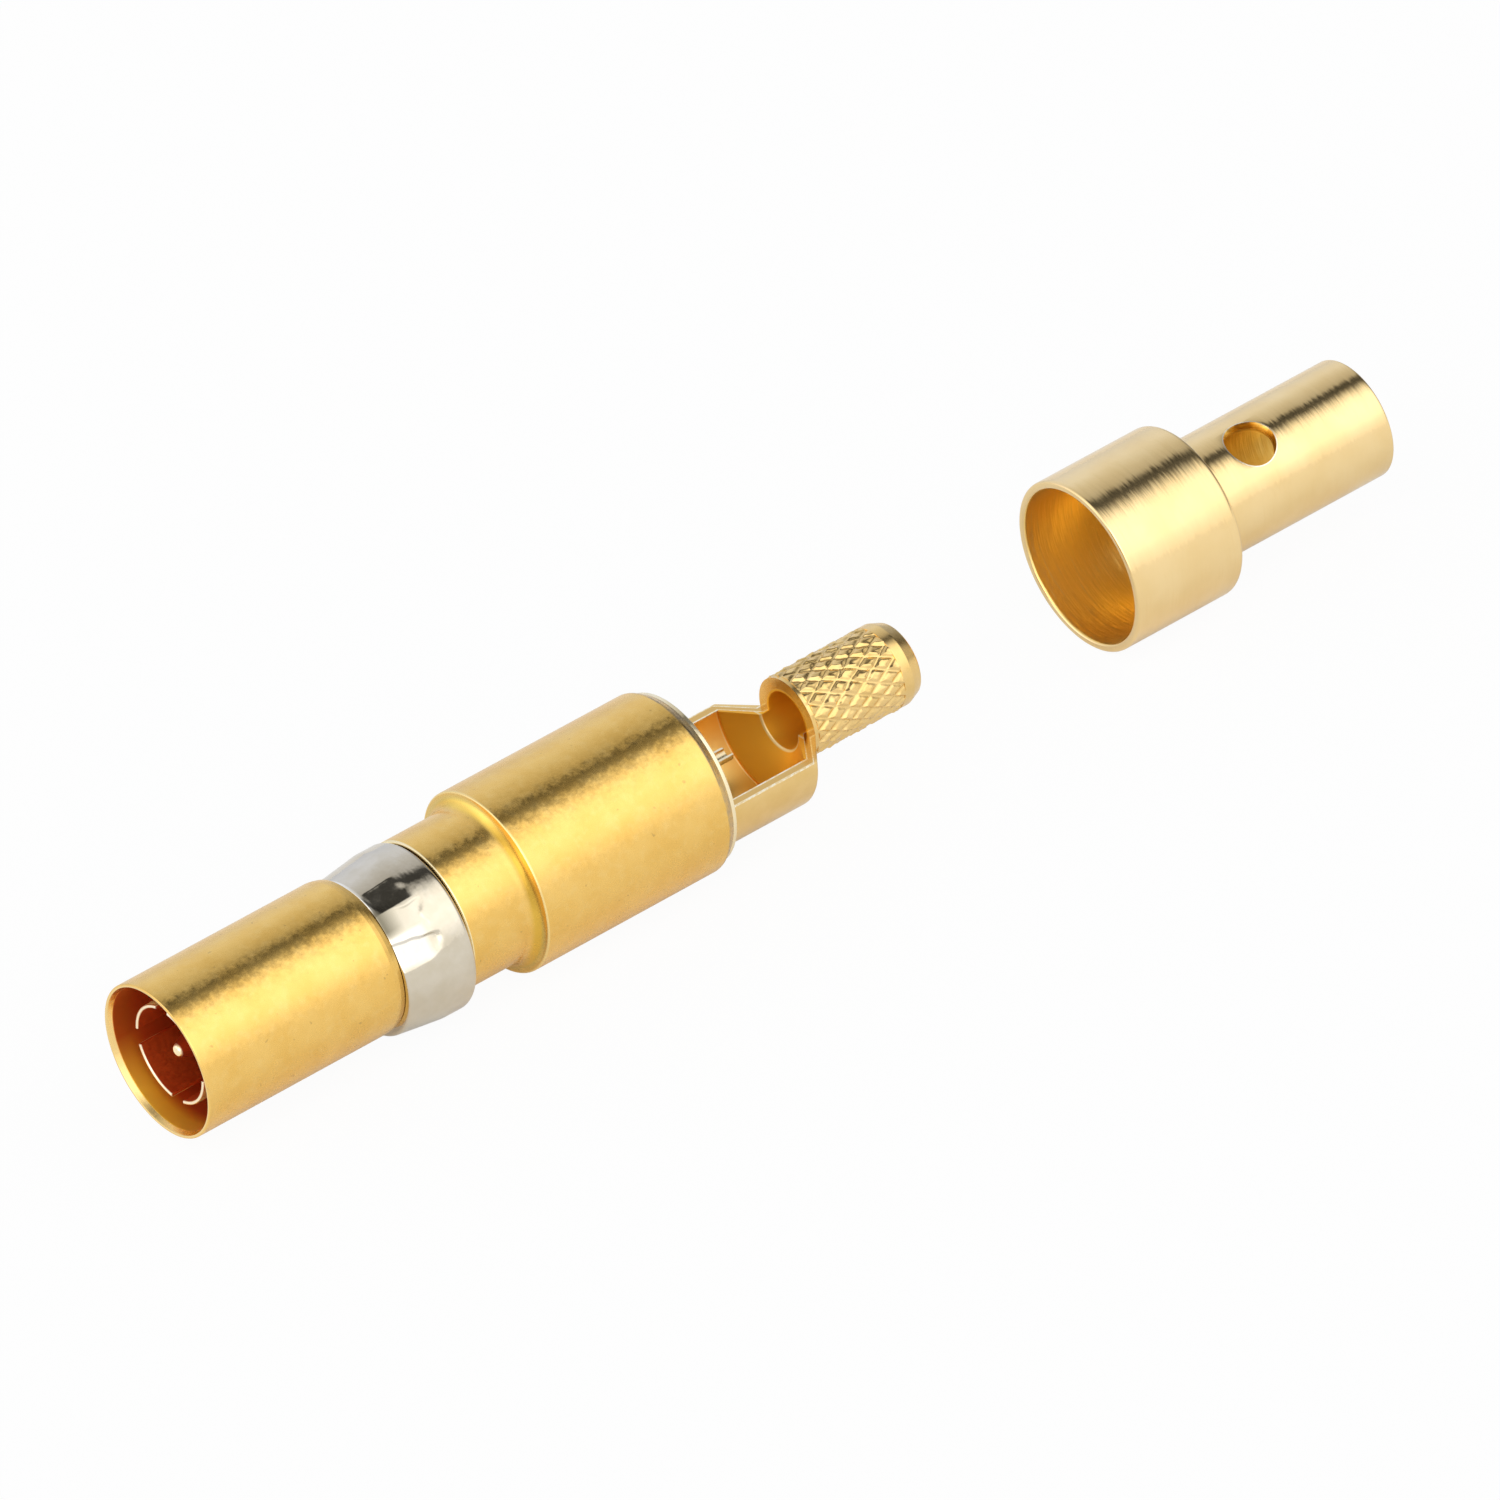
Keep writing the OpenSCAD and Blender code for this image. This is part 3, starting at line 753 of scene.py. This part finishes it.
def make_shell():
    """Turned outer body with the mouth, the clip groove and the barrel."""
    outline = rounded([
        (MOUTH_X, MOUTH_R + RIM_CHAMFER, 0.02),
        (MOUTH_X, NOSE_R, 0.05),
        (GROOVE_FRONT - NOSE_TAPER[0], NOSE_R, 0.1),
        (GROOVE_FRONT - NOSE_BREAK[0], NOSE_R - NOSE_TAPER[1], 0.1),
        (GROOVE_FRONT, NOSE_R - NOSE_BREAK[1], 0.03),
        (GROOVE_FRONT, GROOVE_R, 0.01),
        (-NECK_LEN, GROOVE_R, 0.05),
        (-NECK_LEN, NOSE_R, NECK_ROUND),
        (0, NOSE_R, SHOULDER_FILLET),
        (0, BARREL_R, 0.06),
        (BEVEL_X, BARREL_R, 0.2),
        (LIP_X, BARREL_R - BARREL_DROP, 0.03),
        (BARREL_END, BARREL_R - BARREL_DROP, 0.03),
        (BARREL_END, SEAT_R, 0.03),
        (SEAT_STEP, SEAT_R, 0),
        (SEAT_STEP, BASE_R, 0),
        (MOUTH_END, BASE_R, 0),
        (MOUTH_END, MOUTH_R, 0.1),
        (MOUTH_X + RIM_LEAD, MOUTH_R, 0.04),
    ])
    shell = revolve("shell", with_rings(outline))
    finish_piece(shell, "turned_shell", "shell", SHELL_GOLD)


def smooth(value, start, end):
    """Soft step from 0 at start to 1 at end."""
    share = min(1.0, max(0.0, (value - start) / (end - start)))
    return share * share * (3 - 2 * share)


def pressed(x, r, angle):
    """Radius of the clip where flats are pressed into its cone, with a slight waviness."""
    if r < CLIP_BORE_R + 0.05:
        return r
    turn = math.degrees(angle)
    share = (x - CLIP_LOW.x) / (CLIP_HIGH.x - CLIP_LOW.x)
    wave = noise.noise(Vector((x * 1.3, r * math.cos(angle) * 1.1, r * math.sin(angle) * 1.1)))

    def crease(degrees, lean):
        return degrees + lean * share + CREASE_WANDER * noise.noise(Vector((x * 2.1, degrees, 0.0)))

    sunk = 0.0
    for start, end, (facing, reach, first) in zip(CLIP_CREASES, CLIP_CREASES[1:], CLIP_FLATS):
        across = smooth(turn - crease(*start), -1.0, 1.0) * smooth(crease(*end) - turn, -1.0, 1.0)
        if across == 0:
            continue
        last = CLIP_FLAT_SHARE + 0.08 * noise.noise(Vector((turn * 0.11, facing, 4.0)))
        within = across * smooth(share, first, first + 0.05) * smooth(last - share, -0.04, 0.06)
        depth = 1 - math.cos(math.radians(reach)) / math.cos(math.radians(turn - facing))
        sunk += within * max(0.0, depth)
    return r * (1 - sunk) - CLIP_WAVE * (1 + wave)


def make_clip():
    """Split spring ring with a cone pressed into flats, hanging in its groove."""
    outline = rounded([
        (CLIP_LOW.x, CLIP_BORE_R - CLIP_TURN_IN, 0.02),
        (CLIP_LOW.x, CLIP_BORE_R + CLIP_LIP, CLIP_ROUND),
        (CLIP_LOW.x + CLIP_CONE, CLIP_R, 1.2),
        (CLIP_HIGH.x, CLIP_R, CLIP_TAIL),
        (CLIP_HIGH.x, CLIP_BORE_R, 0.03),
        (CLIP_LOW.x + 2 * CLIP_TURN_LEN, CLIP_BORE_R, 0),
        (CLIP_LOW.x + CLIP_TURN_LEN, CLIP_BORE_R - CLIP_TURN_IN, 0),
    ])
    half = math.degrees(math.asin(CLIP_SLIT / 2 / CLIP_R))
    ring = revolve(
        "clip", with_rings(outline, pitch=0.07), columns=CLIP_COLUMNS,
        start=CLIP_SLIT_AT + half, sweep=360 - 2 * half, relief=pressed
    )
    soften(ring, CLIP_EDGE)
    ring.data.transform(Matrix.Translation((0, CLIP_ASIDE, -CLIP_DROP)))
    finish_piece(ring, "snap_clip", "retention_clip", CLIP_NICKEL)


def make_socket():
    """Contact tube with sprung fingers, a seated base and a flange."""
    outline = rounded([
        (SOCKET_LOW.x, SOCKET_R, 0.05),
        (SOCKET_LOW.x, FINGER_R, 0.05),
        (MOUTH_END + FIT, FINGER_R, 0.05),
        (MOUTH_END + FIT, BASE_R - FIT, 0),
        (SEAT_STEP + FIT, BASE_R - FIT, 0),
        (SEAT_STEP + FIT, SEAT_R - FIT, 0),
        (SOCKET_HIGH.x, SEAT_R - FIT, 0),
        (SOCKET_HIGH.x, SOCKET_R, 0),
    ])
    tube = revolve("socket", with_rings(outline))
    tools = []
    for i in range(SLOTS):
        tool = box_tool((SOCKET_LOW.x - 1, -SLOT_W / 2, 0.5), (SLOT_END, SLOT_W / 2, FINGER_R + 1))
        tool.data.transform(Matrix.Rotation(2 * math.pi * i / SLOTS, 4, "X"))
        tools.append(tool)
    cut(tube, tools)
    soften(tube, SLOT_EDGE)
    finish_piece(tube, "slotted_tube", "spring_socket", TUBE_GOLD)


def make_pin():
    """Centre contact with its point, collar and half-open solder cup."""
    collar_end = COLLAR_X + COLLAR_T
    shank_x = PIN_LOW.x + POINT_LEN
    outline = rounded([
        (PIN_LOW.x, 0, 0),
        (PIN_LOW.x, POINT_R, 0.09),
        (shank_x, PIN_R, 0.5),
        (COLLAR_X, PIN_R, 0),
        (COLLAR_X, COLLAR_R, 0),
        (collar_end, COLLAR_R, 0),
        (collar_end, CUP_R, 0),
        (PIN_HIGH.x, CUP_R, 0.03),
        (PIN_HIGH.x, 0, 0),
    ])
    pin = revolve("pin", with_rings(outline), columns=COLUMNS // 2)
    bore = rod_tool((0, 0, 0), 0, CUP_BORE_R, CUP_OPEN + CUP_DEEP + 1)
    bore.data.transform(Matrix.Rotation(math.pi / 2, 4, "Y"))
    bore.data.transform(Matrix.Translation((PIN_HIGH.x - CUP_OPEN - CUP_DEEP, 0, 0)))
    half = box_tool((PIN_HIGH.x - CUP_OPEN, -1, 0), (PIN_HIGH.x + 1, 1, 1))
    cut(pin, [bore, half])
    soften(pin, CUP_EDGE)
    finish_piece(pin, "contact_pin", "centre_pin", PIN_GOLD)


def knurl_height(x, angle, knurl_x, row):
    """Share of the knurl's depth at a point: grooves at 0 and uneven pads with a burr along one side."""
    across = angle / (2 * math.pi) * KNURL_COUNT
    along = (x - knurl_x) / row / 2
    steps = (across - along, across + along)
    near = min(abs(d - round(d)) for d in steps)
    pad = [math.floor(d) for d in steps]
    aside = [d - math.floor(d) - 0.5 for d in steps]
    lean = noise.noise_vector(Vector((pad[0] % KNURL_COUNT * 3.7, pad[1] % KNURL_COUNT * 5.3, 0.5)))
    rise = KNURL_SHALLOW + (1 - KNURL_SHALLOW) * smooth(near, 0.0, 0.5 * (1 - KNURL_FLAT) + 0.1)
    burr = PAD_BURRS[0] * smooth(aside[0], 0.12, 0.3) + PAD_BURRS[1] * smooth(-aside[1], 0.12, 0.3)
    rough = noise.noise(Vector((x * 5.5, math.cos(angle) * 8.0, math.sin(angle) * 8.0)))
    tilt = PAD_TILT * (lean.x * aside[0] + lean.y * aside[1])
    dome = PAD_DOME * (near - 0.3)
    return rise * (PAD_LEVEL + PAD_ROUGH * rough + tilt + burr + dome)


def make_crimp_body():
    """Rear body with the half-cut solder window and the diamond-knurled stem."""
    knurl_x = STEM_X + STEM_COLLAR
    knurl_end = STEM_END - STEM_LEAD
    row = (knurl_end - knurl_x) / KNURL_ROWS
    root = STEM_R - KNURL_DEPTH
    band_r = STEM_R - KNURL_DEPTH / 2
    cone_end = STEM_X - BORE_LIP
    before = rounded([
        (CRIMP_LOW.x, CRIMP_BORE_R, 0),
        (CRIMP_LOW.x, CRIMP_R, 0),
        (WINDOW_END, CRIMP_R, 0.1),
        (STEM_X, band_r, 0.03),
        (knurl_x, band_r, 0),
    ])
    rings = KNURL_ROWS * KNURL_STEPS // 2
    knurl = [Vector((knurl_x + (knurl_end - knurl_x) * k / rings, STEM_R)) for k in range(rings + 1)]
    after = rounded([
        (knurl_end, STEM_R - FIT, 0),
        (STEM_END - STEM_TIP, STEM_R - FIT, 0.12),
        (STEM_END, STEM_END_R, 0.08),
        (STEM_END, STEM_BORE_R, 0.04),
        (cone_end, STEM_BORE_R, 0.04),
        (cone_end - INNER_CONE, CRIMP_BORE_R, 0.05),
    ])

    def diamonds(x, r, angle):
        if not knurl_x - 1e-6 <= x <= knurl_end + 1e-6 or abs(r - STEM_R) > 1e-6:
            return r
        return root + KNURL_DEPTH * knurl_height(x, angle, knurl_x, row)

    body = revolve(
        "crimp", with_rings(before + knurl + after), columns=KNURL_COUNT * KNURL_STEPS, relief=diamonds
    )
    reach = CRIMP_R + 1
    cut(body, [box_tool((BARREL_END - 0.1, -reach, -WINDOW_DROP), (STEM_X, reach, reach))])
    soften(body, WINDOW_EDGE, limit=50)
    finish_piece(body, "crimp_shank", "crimp_body", CRIMP_GOLD)


def make_ferrule():
    """Stepped ferrule with a cross hole, lying behind the stem."""
    inner = FERRULE_STEP - TUBE_WALL
    bore = TUBE_R - TUBE_WALL
    outline = rounded([
        (FERRULE_LOW.x, FERRULE_BORE_R, 0.1),
        (FERRULE_LOW.x, FERRULE_R, 0.1),
        (FERRULE_STEP, FERRULE_R, 0.14),
        (FERRULE_STEP, TUBE_R, 0.05),
        (FERRULE_HIGH.x, TUBE_R, 0.06),
        (FERRULE_HIGH.x, bore, 0.06),
        (inner, bore, 0.05),
        (inner - FERRULE_CONE, FERRULE_BORE_R, 0.05),
    ])
    ferrule = revolve("ferrule", with_rings(outline))
    cut(ferrule, [rod_tool((HOLE_X, 0, 0), HOLE_TURN, HOLE_R, TUBE_R + 1)])
    soften(ferrule, HOLE_EDGE)
    ferrule.data.transform(Matrix.Translation((0, FERRULE_Y, FERRULE_Z)))
    finish_piece(ferrule, "stepped_ferrule", "crimp_ferrule", FERRULE_GOLD)


make_shell()
make_clip()
make_socket()
make_pin()
make_crimp_body()
make_ferrule()
for node in ("front_insulator", "rear_insulator"):
    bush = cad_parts[node]
    bush.data.materials.clear()
    bush.data.materials.append(INSULATOR)

# Camera: the plug's axis rises to the right at AXIS_RISE, with the mouth end nearer
AXIS_RISE = math.radians(28.6)
AXIS_DEPTH = math.sin(math.radians(28.0))
VIEW_LIFT = math.radians(36.5)
FRAME_MM = 46.5
AIM_X = 10.30
AIM_LOW = 0.31
LENS = 464.5
SENSOR = 36.0


def make_camera():
    """Camera at the photograph's angle, from far away through a long lens."""
    side = Vector((0, -math.cos(VIEW_LIFT), math.sin(VIEW_LIFT)))
    back = Vector((-AXIS_DEPTH, 0, 0)) + side * math.sqrt(1 - AXIS_DEPTH ** 2)
    along = (Vector((1, 0, 0)) - back * back.x).normalized()
    above = back.cross(along)
    right = along * math.cos(AXIS_RISE) - above * math.sin(AXIS_RISE)
    up = along * math.sin(AXIS_RISE) + above * math.cos(AXIS_RISE)
    data = bpy.data.cameras.new("camera")
    data.lens = LENS
    data.sensor_width = SENSOR
    data.clip_start = 0.01
    data.clip_end = 20.0
    aim = (Vector((AIM_X, 0, 0)) - above * AIM_LOW) * MM
    place = aim + back * (FRAME_MM * MM * LENS / SENSOR)
    obj = bpy.data.objects.new("camera", data)
    obj.matrix_world = Matrix.Translation(place) @ Matrix((right, up, back)).transposed().to_4x4()
    bpy.context.scene.collection.objects.link(obj)
    bpy.context.scene.camera = obj


WHITE = (1, 1, 1, 1)
# Studio: white tent with a bright front panel, a gap overhead and a cooler back, as levels at angles
# about X from -Y towards +Z
TENT = [
    (-180, 0.72), (-60, 0.92), (-10, 1.02), (4, 1.16), (14, 1.32), (24, 1.55), (40, 1.65), (58, 1.60),
    (68, 1.40), (77, 0.92), (84, 0.40), (90, 0.06), (100, 0.06), (107, 0.54), (125, 0.70), (146, 0.86),
    (165, 0.82), (180, 0.72),
]
TENT_TOP = max(level for _, level in TENT)
COOL_START = 115
COOL_FULL = 150
COOL = (1.0, 1.07, 1.25)
# The tent is darker towards the cable end and brighter towards the mouth
END_START = 0.52
END_FULL = 0.88
END_LEVEL = 0.35
FRONT_START = -0.45
FRONT_FULL = -0.8
FRONT_LEVEL = 1.6
# The gap closes towards the mouth
CLOSE_START = -0.15
CLOSE_FULL = -0.45
CLOSE_LEVEL = 0.9


def tinted(degrees, level):
    """Colour of the tent at an angle, cooler at the back, as a share of the highest level."""
    cool = min(1.0, max(0.0, (abs(degrees) - COOL_START) / (COOL_FULL - COOL_START)))
    return [level / TENT_TOP * (1 + cool * (tint - 1)) for tint in COOL]


def make_world():
    """World light that changes with the angle about the plug's axis and fades towards the cable end."""
    world = bpy.data.worlds.new("studio")
    bpy.context.scene.world = world
    n = Nodes(world)
    n.tree.nodes.clear()
    x, y, z = n.parts(n.node("ShaderNodeTexCoord").outputs["Generated"])
    angle = n.math("ARCTAN2", z, n.math("MULTIPLY", y, -1.0))
    tent = n.ramp(n.between(angle, 0, 1, -math.pi, math.pi),
                  [((degrees + 180) / 360, tinted(degrees, level)) for degrees, level in TENT])
    close = n.between(x, 0, 1, CLOSE_START, CLOSE_FULL)
    tent = n.mix(close, tent, [CLOSE_LEVEL / TENT_TOP] * 3, blend="LIGHTEN")
    level = n.math("MULTIPLY", n.between(x, TENT_TOP, TENT_TOP * END_LEVEL, END_START, END_FULL),
                   n.between(x, 1.0, FRONT_LEVEL, FRONT_START, FRONT_FULL))
    seen = n.node("ShaderNodeLightPath").outputs["Is Camera Ray"]
    n.end("ShaderNodeOutputWorld", seen, n.light("ShaderNodeBackground", tent, level),
          n.light("ShaderNodeBackground", WHITE))


# Share of the floor that glows white by itself, to the camera and in reflections, where it depends
# on the distance from the plug's axis along Y and is more ahead of the mouth
GLOW_SEEN = 0.95
GLOW_MIRRORED = [(-25, 0.92), (-11, 0.80), (-6, 0.58), (-2, 0.18), (2, 0.18), (12, 0.30), (25, 0.30)]
GLOW_AHEAD = 0.8
AHEAD_FULL = MOUTH_X - 0.2
AHEAD_END = MOUTH_X + 0.6
# Colour of the floor, and its place and size in metres
FLOOR_PAINT = (0.78, 0.78, 0.78, 1)
FLOOR_X = 0.01
FLOOR_RADIUS = 1.5


def mirrored_glow(n):
    """How much of the floor glows in reflections, by the place on it."""
    x, y, _ = n.parts(n.node("ShaderNodeTexCoord").outputs["Object"])
    first, last = GLOW_MIRRORED[0][0], GLOW_MIRRORED[-1][0]
    around = n.ramp(n.between(y, 0, 1, first * MM, last * MM),
                    [((at - first) / (last - first), [level] * 3) for at, level in GLOW_MIRRORED])
    return n.math("MAXIMUM", around, n.between(x, GLOW_AHEAD, 0, AHEAD_FULL * MM, AHEAD_END * MM))


def make_floor():
    """Pale floor that shows white to the camera and in reflections, and keeps a soft shadow."""
    bm = bmesh.new()
    bmesh.ops.create_circle(bm, cap_ends=True, segments=64, radius=FLOOR_RADIUS)
    bm.transform(Matrix.Translation((FLOOR_X, 0, cad_box[0].z)))
    floor = to_object(bm, "floor")
    material = bpy.data.materials.new("floor")
    n = Nodes(material)
    n.tree.nodes.clear()
    path = n.node("ShaderNodeLightPath").outputs
    mirrored = n.math("MAXIMUM", path["Is Glossy Ray"], path["Is Transmission Ray"])
    seen = n.math("MULTIPLY", path["Is Camera Ray"], GLOW_SEEN)
    share = n.math("ADD", n.math("MULTIPLY", mirrored, mirrored_glow(n)), seen)
    paint = n.node("ShaderNodeBsdfDiffuse")
    paint.inputs["Color"].default_value = FLOOR_PAINT
    n.end("ShaderNodeOutputMaterial", share, paint.outputs["BSDF"], n.light("ShaderNodeEmission", WHITE))
    floor.data.materials.append(material)


make_camera()
make_world()
make_floor()
bpy.context.scene.view_settings.view_transform = "Standard"
